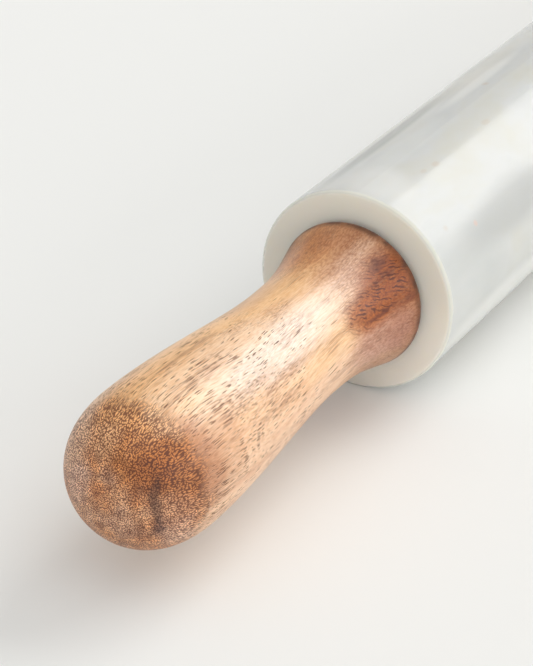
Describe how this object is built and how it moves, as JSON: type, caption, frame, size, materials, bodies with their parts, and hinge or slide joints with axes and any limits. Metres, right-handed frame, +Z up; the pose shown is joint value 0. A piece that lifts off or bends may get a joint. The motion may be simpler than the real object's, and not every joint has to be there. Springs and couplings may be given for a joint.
{
  "type": "rolling pin",
  "caption": "Marble rolling pin: a heavy polished stone barrel turns in nylon bushes on a steel axle held between two turned wooden handles.",
  "frame": {"origin": "centre of the stone barrel, on its spin axis, midway between its ends", "axes": "+X along the spin axis towards the right handle, +Z up; the barrel rests on a surface at its lowest line, under the origin"},
  "size_m": [0.4606, 0.05, 0.05],
  "materials": {
    "marble": "polished, with faint grey veins",
    "wood": "oiled satin, open pored",
    "steel": "bright drawn",
    "nylon": "natural nylon, smooth",
    "brass": "turned"
  },
  "bodies": {
    "roller": {"marble_roller": "marble", "left_bearing_bush": "nylon", "right_bearing_bush": "nylon"},
    "handles": {"axle_rod": "steel", "left_thrust_washer": "nylon", "right_thrust_washer": "nylon", "left_steel_washer": "steel", "right_steel_washer": "steel", "left_jam_nut": "steel", "right_jam_nut": "steel", "left_threaded_insert": "brass", "right_threaded_insert": "brass", "left_handle": "wood", "right_handle": "wood"}
  },
  "joints": [
    {"name": "roller_spin", "type": "hinge", "parent": "roller", "child": "handles", "pos_m": [0, 0, 0], "axis": [1, 0, 0], "continuous": true}
  ]
}
